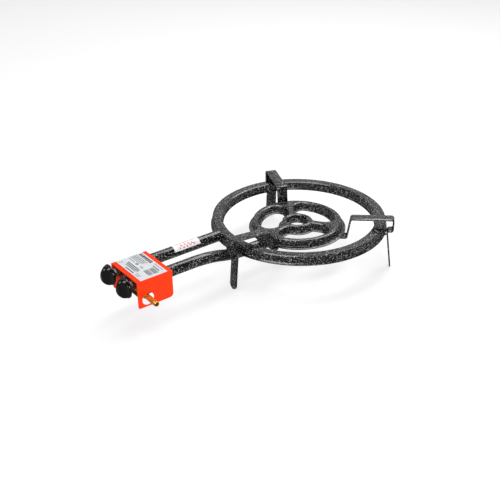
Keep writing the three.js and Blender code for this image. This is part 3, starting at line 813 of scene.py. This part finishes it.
def control_cover():
    """A flat blank with rounded corners and a hole, folded round the box and given its thickness."""
    (x0, x1), (y0, y1), (bottom, top) = COVER_X, COVER_Y, COVER_Z
    bend = 1.9
    profile = rounded([(y0, bottom), (y0, top), (y1, top), (y1, bottom)], [0, bend, bend, 0], 8)
    lengths = [0.0]
    for a, b in zip(profile, profile[1:]):
        lengths.append(lengths[-1] + (Vector(b) - Vector(a)).length)
    total = lengths[-1]
    blank = rounded([(0, x0), (total, x0), (total, x1), (0, x1)], [4.5, 4.5, 9, 9], 10, closed=True)
    hole = [(HOLE_Z - bottom + v, HOLE_X + u) for u, v in arc(0, 0, HOLE_R, 0, TAU, 72)[:-1]]
    points = [Vector(p) for p in blank] + [Vector(p) for p in hole]
    first = len(blank)
    edges = [(i, (i + 1) % first) for i in range(first)]
    edges += [(first + i, first + (i + 1) % len(hole)) for i in range(len(hole))]
    for u in lengths[1:-1]:
        edges.append((len(points), len(points) + 1))
        points += [Vector((u, x0)), Vector((u, x1))]
    made = delaunay_2d_cdt(points, edges, [], 1, 1e-5)
    bm = bmesh.new()

    def fold(u):
        """y and z of the place u along the blank."""
        for i, (a, b) in enumerate(zip(lengths, lengths[1:])):
            if u <= b or i == len(lengths) - 2:
                return Vector(profile[i]).lerp(Vector(profile[i + 1]), (u - a) / (b - a))

    verts = []
    for p in made[0]:
        yz = fold(p.x)
        verts.append(bm.verts.new(place(p.y, yz.x, yz.y)))
    for triangle in made[2]:
        middle = sum((made[0][k] for k in triangle), Vector((0, 0))) / 3
        if inside(middle, blank) and not inside(middle, hole):
            bm.faces.new([verts[k] for k in triangle])
    bmesh.ops.recalc_face_normals(bm, faces=bm.faces)
    highest = max(bm.faces, key=lambda f: f.calc_center_median().z)
    if highest.normal.z < 0:
        bmesh.ops.reverse_faces(bm, faces=bm.faces)
    thicken(bm, COVER_SHEET * MM)
    finish_piece("folded_cover", bm, [ORANGE], "stand", ["control_cover"], 0.3, 40)


def thicken(bm, thickness):
    """Gives an open sheet a thickness behind its faces."""
    bm.normal_update()
    outer_faces = list(bm.faces)
    boundary = [e for e in bm.edges if len(e.link_faces) == 1]
    inner = {}
    for v in list(bm.verts):
        normals = []
        for f in v.link_faces:
            if not any(f.normal.dot(n) > 0.9999 for n in normals):
                normals.append(f.normal.copy())
        average = sum(normals, Vector((0, 0, 0))).normalized()
        reach = thickness / max(0.3, average.dot(normals[0]))
        inner[v] = bm.verts.new(v.co - average * reach)
    for f in outer_faces:
        bm.faces.new([inner[v] for v in reversed(f.verts)])
    for e in boundary:
        a, b = e.verts
        bm.faces.new((a, b, inner[b], inner[a]))


# -------- stickers


# start and end along the sticker, place across it and height, as shares of its length and width, then
# the shortest and longest stroke and the gap in mm, and which ink
LABEL_ROWS = (
    (0.04, 0.50, 0.05, 0.13, 3.4, 5.6, 1.7, 1),
    (0.02, 0.47, 0.23, 0.035, 3.0, 8.0, 1.2, 0),
    (0.02, 0.44, 0.30, 0.035, 3.0, 9.0, 1.2, 0),
    (0.02, 0.47, 0.37, 0.035, 2.5, 7.0, 1.2, 0),
    (0.02, 0.40, 0.44, 0.03, 3.0, 8.0, 1.3, 0),
    (0.04, 0.28, 0.53, 0.03, 2.0, 6.0, 1.3, 0),
    (0.58, 0.92, 0.06, 0.03, 3.0, 7.0, 1.6, 0),
    (0.64, 0.90, 0.17, 0.04, 3.0, 6.0, 0.8, 1),
    (0.33, 0.43, 0.50, 0.08, 2.2, 2.8, 1.4, 1),
    (0.50, 0.60, 0.50, 0.06, 1.6, 2.4, 1.2, 0),
    (0.69, 0.93, 0.25, 0.17, 0.6, 1.5, 0.55, 0),
    (0.69, 0.93, 0.45, 0.17, 0.6, 1.5, 0.55, 0),
    (0.17, 0.62, 0.66, 0.05, 2.0, 8.0, 0.6, 0),
    (0.20, 0.64, 0.73, 0.05, 2.0, 8.0, 0.6, 0),
    (0.22, 0.60, 0.80, 0.04, 2.0, 8.0, 0.6, 0),
    (0.32, 0.64, 0.90, 0.045, 2.0, 5.0, 0.7, 1),
    (0.06, 0.14, 0.84, 0.03, 2.0, 4.0, 0.8, 0),
    (0.07, 0.13, 0.91, 0.03, 2.0, 4.0, 0.8, 0),
    (0.68, 0.86, 0.84, 0.03, 2.0, 5.0, 1.4, 0),
    (0.70, 0.82, 0.91, 0.03, 2.0, 5.0, 1.4, 0),
)


def plate(bm, corners, low, high, material=0):
    """A thin closed plate between two heights, in the row frame."""
    add_loops(bm, [[Vector((x, y, z)) for x, y in corners] for z in (low, high)], cap=True, material=material)


def rating_label():
    """The sticker's film, and rows of short strokes that stand for words and bars, and can't be read."""
    low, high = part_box("rating_label")
    film_top, ink_low = high[2] - 0.05 * MM, high[2] - 0.07 * MM
    bm = bmesh.new()
    corners = [(low[0], low[1]), (high[0], low[1]), (high[0], high[1]), (low[0], high[1])]
    plate(bm, rounded(corners, 1.2 * MM, 5, closed=True), low[2], film_top)
    finish_piece("rating_film", bm, [FOIL], stands_for=["rating_label"], angle=30)

    bm = bmesh.new()
    width, length = (high[0] - low[0]) / MM, (high[1] - low[1]) / MM
    rnd = random.Random(7)
    for start, end, across, tall, shortest, longest, gap, material in LABEL_ROWS:
        x0, x1 = high[0] - across * width * MM, high[0] - (across + tall) * width * MM
        u = start * length
        while u < end * length - shortest:
            step = min(rnd.uniform(shortest, longest), end * length - u)
            y0, y1 = high[1] - u * MM, high[1] - (u + step) * MM
            plate(bm, [(x1, y1), (x0, y1), (x0, y0), (x1, y0)], ink_low, high[2], material)
            u += step + gap
    finish_piece("rating_print", bm, [GREY_INK, BLACK_INK])


def tube_label():
    """The sticker on the back tube, with a wavy stroke and a row of short ones."""
    radius, film = TUBE_R + 0.3, TUBE_R + 0.5
    start, end = radians(20), radians(160)
    x0, x1 = -314.0, -249.5

    def at(x, angle, r):
        return place(x, BACK_Y + r * cos(angle), TUBE_Z + r * sin(angle))

    bm = bmesh.new()
    steps = 48
    angles = [start + (end - start) * k / steps for k in range(steps + 1)]
    section = [(a, film) for a in angles] + [(a, radius) for a in reversed(angles)]
    add_loops(bm, [[at(x, a, r) for a, r in section] for x in (x0, x1)], cap=True)
    finish_piece("tube_film", bm, [PAPER], stands_for=["tube_label"])

    bm = bmesh.new()
    rnd = random.Random(11)

    def stroke(u0, u1, v, height, thick, waves, phase):
        """A brush stroke: u in mm along the tube, v in mm round it from the top, towards the front."""
        count, cuts = 90, 6
        sections = []
        for k in range(count + 1):
            f = k / count
            u = u0 + (u1 - u0) * f
            w = v + height * sin(TAU * waves * f + phase) * (0.75 + 0.25 * sin(5 * f))
            t = thick * (0.35 + 0.65 * abs(cos(pi * waves * f + phase)))
            across = [pi / 2 + (w + t * (cut / cuts - 0.5)) / radius for cut in range(cuts + 1)]
            upper = [at(u, angle, film + 0.025) for angle in across]
            sections.append(upper + [at(u, angle, film - 0.02) for angle in reversed(across)])
        add_loops(bm, sections, cap=True)

    stroke(-301, -261, 8.0, 4.2, 3.4, 4.5, 0.4)
    for k in range(9):
        u = -309 + k * 5.6
        stroke(u, u + rnd.uniform(2.8, 4.4), -1.5, 0.35, 2.0, 0.5, 0.3)
    finish_piece("tube_print", bm, [RED_INK])


# -------- knobs

AXIS_Z = 10.0
KNOB_R = 22.3
TAPS = {"outer": BACK_Y, "inner": FRONT_Y}


def knob_height(u, v):
    """How high the knob's front stands over the rim at u across the grip and v along it."""
    dome_r, grip = 20.6, 17.0
    crest, scoop, blend, edge = 4.6, 16.8, 1.6, 3.0
    r = hypot(u, v)
    dome = grip * sqrt(max(0.0, 1 - (r / dome_r) ** 2))
    reach = min(max(abs(u) - crest, 0.0), scoop)
    ridge = grip - sqrt(max(0.0, scoop**2 - (reach - scoop) ** 2))
    near = max(blend - abs(dome - ridge), 0.0) / blend
    body = min(dome, ridge) - near * near * blend / 4
    lift = max(0.0, min(1.0, (KNOB_R - r) / edge))
    brim = -edge * (1 - sqrt(max(0.0, 1 - (1 - lift) ** 2)))
    return max(body, 0.0) + brim


def knob(ring, y):
    """A round skirt and a dome pinched to a ridge on its front, with a rim, a web and a socket behind."""
    back, skirt = -462.5, 5.0
    rings, around = 54, 144
    turn = [TAU * k / around for k in range(around)]
    loops = []
    for i in range(rings + 1):
        r = max(KNOB_R * sin(pi / 2 * i / rings), 0.01)
        spots = [(r * cos(t), r * sin(t)) for t in turn]
        loops.append([place(back - skirt - knob_height(u, v), y + u, AXIS_Z + v) for u, v in spots])
    behind = [(KNOB_R, 2.0), (KNOB_R, 0.0), (14.0, 0.0), (14.0, 2.6), (8.2, 2.6), (8.2, 0.0)]
    behind += [(4.3, 0.0), (4.3, 14.0), (0.01, 14.0)]
    for r, depth in rounded(behind, [0, 0.6, 0.4, 0, 0, 0.4, 0.3, 0, 0], 3):
        loops.append([place(back - depth, y + r * cos(t), AXIS_Z + r * sin(t)) for t in turn])
    bm = bmesh.new()
    add_loops(bm, loops, cap=True)
    finish_piece(f"{ring}_knob_grip", bm, [PLASTIC], f"{ring}_handle", [f"{ring}_knob"], angle=40)


# -------- brass parts


RAIL_X, RAIL_Z = -430.0, -12.6


def along_x(y, z):
    """Points a turned part's axis along X, through y and z."""
    return lambda a, b, h: place(h, y + a, z + b)


def along_y(x, z):
    """Points a turned part's axis along Y, through x and z."""
    return lambda a, b, h: place(x + a, h, z + b)


def hex_bar(bm, flats, start, end, to_row, bore, chamfer=0.8):
    """A hexagon nut with its corners turned back, and a bore through it. end lies beyond start."""
    steps = 12
    face, corner = flats / 2, flats / sqrt(3)
    half_turned = (face + corner) / 2
    angles = [TAU * k / (6 * steps) for k in range(6 * steps)]

    def hexagon(t):
        sector = (t + pi / 6) % (pi / 3) - pi / 6
        return face / cos(sector)

    outside = [(start, face * 0.96), (start + chamfer * 0.5, half_turned), (start + chamfer, corner + 1)]
    outside += [(end - chamfer, corner + 1), (end - chamfer * 0.5, half_turned), (end, face * 0.96)]
    loops = [[to_row(bore * cos(t), bore * sin(t), start) for t in angles]]
    for h, limit in outside:
        reach = [(min(hexagon(t), limit), t) for t in angles]
        loops.append([to_row(r * cos(t), r * sin(t), h) for r, t in reach])
    loops.append([to_row(bore * cos(t), bore * sin(t), end) for t in angles])
    add_loops(bm, loops + loops[:1])


def hose_nozzle():
    """A plain hose nozzle with a hexagon, from its flange on the rail's washer to its tip."""
    tip, r, bore = -80.0, 5.8, 4.1
    neck, flange, rail_face = 5.0, 5.5, -25.4
    profile = [(bore, rail_face), (bore, tip + 0.5), (bore + 0.4, tip), (r - 0.9, tip), (r - 0.5, tip + 0.3)]
    profile += [(r - 0.3, tip + 1.2), (r, tip + 3), (r, -43), (r - 0.4, -42.4), (neck, -40.7), (neck, -32.0)]
    profile += [(neck, -29.2), (flange, -28.9), (flange, rail_face - 0.2), (flange - 0.2, rail_face)]
    bm = bmesh.new()
    lathe(bm, profile, 64, along_y(RAIL_X, RAIL_Z))
    hex_bar(bm, 13.4, -40.6, -32.1, along_y(RAIL_X, RAIL_Z), 4.9)
    finish_piece("brass_nozzle", bm, [BRASS], stands_for=["hose_nozzle"])


def gas_rail():
    """The rail that feeds both taps, and the plug in its back end."""
    r, bore, front, back = 7, 4.0, -30, 54
    profile = [(bore, front + 0.2), (bore + 0.3, front), (r - 0.4, front), (r, front + 0.4)]
    profile += [(r, back - 0.4), (r - 0.4, back), (bore + 0.3, back), (bore, back - 0.2)]
    bm = bmesh.new()
    lathe(bm, profile, 64, along_y(RAIL_X, RAIL_Z))
    finish_piece("brass_rail", bm, [CAST_BRASS_IN_SHADE], stands_for=["gas_rail"])

    stem, under_head, head = 3.9, 54.3, 56.5
    profile = [(0, 48), (stem, 48), (stem, under_head), (r - 0.3, under_head), (r, under_head + 0.3)]
    profile += [(r, head - 0.4), (r - 0.4, head), (1.6, head), (1.6, head - 1.1), (0, head - 1.1)]
    bm = bmesh.new()
    lathe(bm, profile, 64, along_y(RAIL_X, RAIL_Z))
    finish_piece("rail_stop", bm, [CAST_BRASS_IN_SHADE], stands_for=["rail_end_plug"])


def tap(ring, y):
    """The tap's casting with its boss for the rail, the gland nut and the jet."""
    axis = along_x(y, AXIS_Z)
    collar, barrel = 9.5, 9.1
    casting = [(7.1, -448.7), (7.4, -449), (barrel, -449), (collar, -448.6), (collar, -438), (barrel, -437.4)]
    casting += [(barrel, -421), (collar, -420.4), (collar, -414.4), (barrel, -414), (4.2, -414)]
    casting += [(3.8, -414.4), (3.8, -419), (2.5, -419), (2.5, -424.5), (5.05, -424.5), (6.45, -441)]
    casting += [(7.1, -441)]
    boss = [(4.2, -5.2), (5.8, -5.2), (6.2, -4.8), (6.2, 1.5), (4.2, 1.5)]
    bm = bmesh.new()
    lathe(bm, casting, 64, axis)
    lathe(bm, boss, 48, lambda a, b, h: place(RAIL_X + a, y + b, h))
    finish_piece(f"{ring}_tap_casting", bm, [NICKEL_IN_SHADE], stands_for=[f"{ring}_tap_body"])

    bm = bmesh.new()
    hex_bar(bm, 17, -455.5, -449.3, axis, 4.3)
    finish_piece(f"{ring}_gland_nut", bm, [NICKEL_IN_SHADE], stands_for=[f"{ring}_tap_gland"])

    orifice, channel, tip, rear = 0.6, 1.5, -399, -418.2
    jet = [(orifice, tip), (1.9, tip), (2.2, tip - 0.4), (3.4, -403), (3.4, -406), (3.5, rear)]
    jet += [(channel, rear), (channel, tip - 2), (orifice, tip - 2)]
    bm = bmesh.new()
    lathe(bm, jet, 40, axis)
    hex_bar(bm, 9, -413.7, -406, axis, 3.3, 0.5)
    finish_piece(f"{ring}_jet", bm, [BRASS], stands_for=[f"{ring}_injector"])


# -------- CAD nodes that stay

KEPT = {
    "tube_plate": (STEEL, 0.25),
    "nozzle_washer": (FIBRE, 0.2),
    "rail_screw_front": (STEEL, 0.3),
    "rail_screw_back": (STEEL, 0.3),
}
for tap_name in TAPS:
    KEPT[f"{tap_name}_tap_plug"] = (CAST_BRASS_IN_SHADE, 0.2)
    KEPT[f"{tap_name}_tap_stem"] = (STEEL, 0.2)
    KEPT[f"{tap_name}_tap_spring"] = (STEEL, None)


def dress_kept_nodes():
    """Gives the simple CAD pieces their material and worn edges, and gives each spring a mesh of its own."""
    for name, (material, bevel) in KEPT.items():
        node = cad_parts[name]
        for material_slot in node.material_slots:
            material_slot.link = "OBJECT"
            material_slot.material = material
        if bevel:
            add_bevel(node, bevel, angle=30, segments=2)
    for ring in TAPS:
        # The spring rides the handle, so shortening it towards its knob end leaves its other end on the plug.
        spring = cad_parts[f"{ring}_tap_spring"]
        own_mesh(spring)


# -------- stage, light and camera


def stage():
    """A white floor that gloss doesn't reflect."""
    bm = bmesh.new()
    size, cells = 6.0, 8
    for i in range(cells):
        for j in range(cells):
            x0, x1 = (-size + 2 * size * k / cells for k in (i, i + 1))
            y0, y1 = (-size + 2 * size * k / cells for k in (j, j + 1))
            bm.faces.new([bm.verts.new((x, y, 0)) for x, y in ((x0, y0), (x1, y0), (x1, y1), (x0, y1))])
    mesh = bpy.data.meshes.new("studio_floor")
    bm.to_mesh(mesh)
    bm.free()
    n = Nodes("studio_white")
    colour = n.mix(n.noise(3), rgb(158, 158, 158), rgb(160, 160, 160))
    glow = dict(Emission_Color=(1, 1, 1, 1), Emission_Strength=0.7)
    mesh.materials.append(n.surface(Base_Color=colour, Roughness=0.9, Specular_IOR_Level=0.0, **glow))
    floor = bpy.data.objects.new("studio_floor", mesh)
    floor.location.z = -0.3 * MM
    floor.visible_glossy = False
    bpy.context.scene.collection.objects.link(floor)


def area_light(name, location, target, size, power):
    data = bpy.data.lights.new(name, "AREA")
    data.shape = "RECTANGLE"
    data.size, data.size_y = size
    data.energy = power
    light = bpy.data.objects.new(name, data)
    light.location = location
    light.rotation_euler = (Vector(target) - Vector(location)).to_track_quat("-Z", "Y").to_euler()
    bpy.context.scene.collection.objects.link(light)


def lighting():
    """Soft boxes over a dim room that is darker below the horizon, which is what gloss reflects."""
    world = bpy.data.worlds.new("studio_world")
    world.use_nodes = True
    tree = world.node_tree
    direction = tree.nodes.new("ShaderNodeTexCoord").outputs["Generated"]
    height = tree.nodes.new("ShaderNodeSeparateXYZ")
    tree.links.new(direction, height.inputs[0])
    room = tree.nodes.new("ShaderNodeMapRange")
    for name, value in (("From Min", -0.1), ("From Max", 0.5), ("To Min", 0.26), ("To Max", 0.16)):
        room.inputs[name].default_value = value
    tree.links.new(height.outputs["Z"], room.inputs["Value"])
    background = tree.nodes["Background"]
    background.inputs["Color"].default_value = (1, 1, 1, 1)
    tree.links.new(room.outputs["Result"], background.inputs["Strength"])
    bpy.context.scene.world = world
    area_light("overhead_softbox", (-0.1, 0.4, 3.3), (0, 0, 0.05), (2.2, 1.3), 42)
    area_light("right_softbox", (1.3, 0.4, 1.9), (0, 0, 0.05), (1.5, 1.3), 28)
    area_light("back_softbox", (1.6, 1.75, 1.25), (0.05, 0, 0.05), (3.4, 1.6), 7.5)
    area_light("left_softbox", (-1.23, 1.18, 1.23), (-0.29, -0.08, 0.07), (0.7, 0.7), 4)
    area_light("front_softbox", (-0.9, -2.2, 1.1), (-0.1, 0, 0.06), (1.2, 0.9), 31)
    bpy.context.scene.view_settings.view_transform = "Standard"


def camera():
    """The photograph's camera, solved from the rings, the tubes and the box."""
    data = bpy.data.cameras.new("photo_camera")
    data.sensor_width = 36.0
    data.lens = 60.24
    eye = bpy.data.objects.new("photo_camera", data)
    location = place(-1115.8, -1289.2, 881.5)
    aim = place(-168.4, -37.9, 0.0)
    forward = (aim - location).normalized()
    right = forward.cross(Vector((0, 0, 1))).normalized()
    up = right.cross(forward)
    rotation = Matrix((right, up, -forward)).transposed()
    roll = Matrix.Rotation(radians(-0.56), 3, "Z")
    eye.matrix_world = Matrix.Translation(location) @ (rotation @ roll).to_4x4()
    data.clip_end = 50
    bpy.context.scene.collection.objects.link(eye)
    bpy.context.scene.camera = eye


# -------- assembly

camera()
lighting()
stage()
outer_ring()
inner_burner()
mixing_tubes()
supports()
weld_beads()
control_cover()
rating_label()
tube_label()
hose_nozzle()
gas_rail()
for tap_name, tap_y in TAPS.items():
    tap(tap_name, tap_y)
    knob(tap_name, tap_y)
dress_kept_nodes()
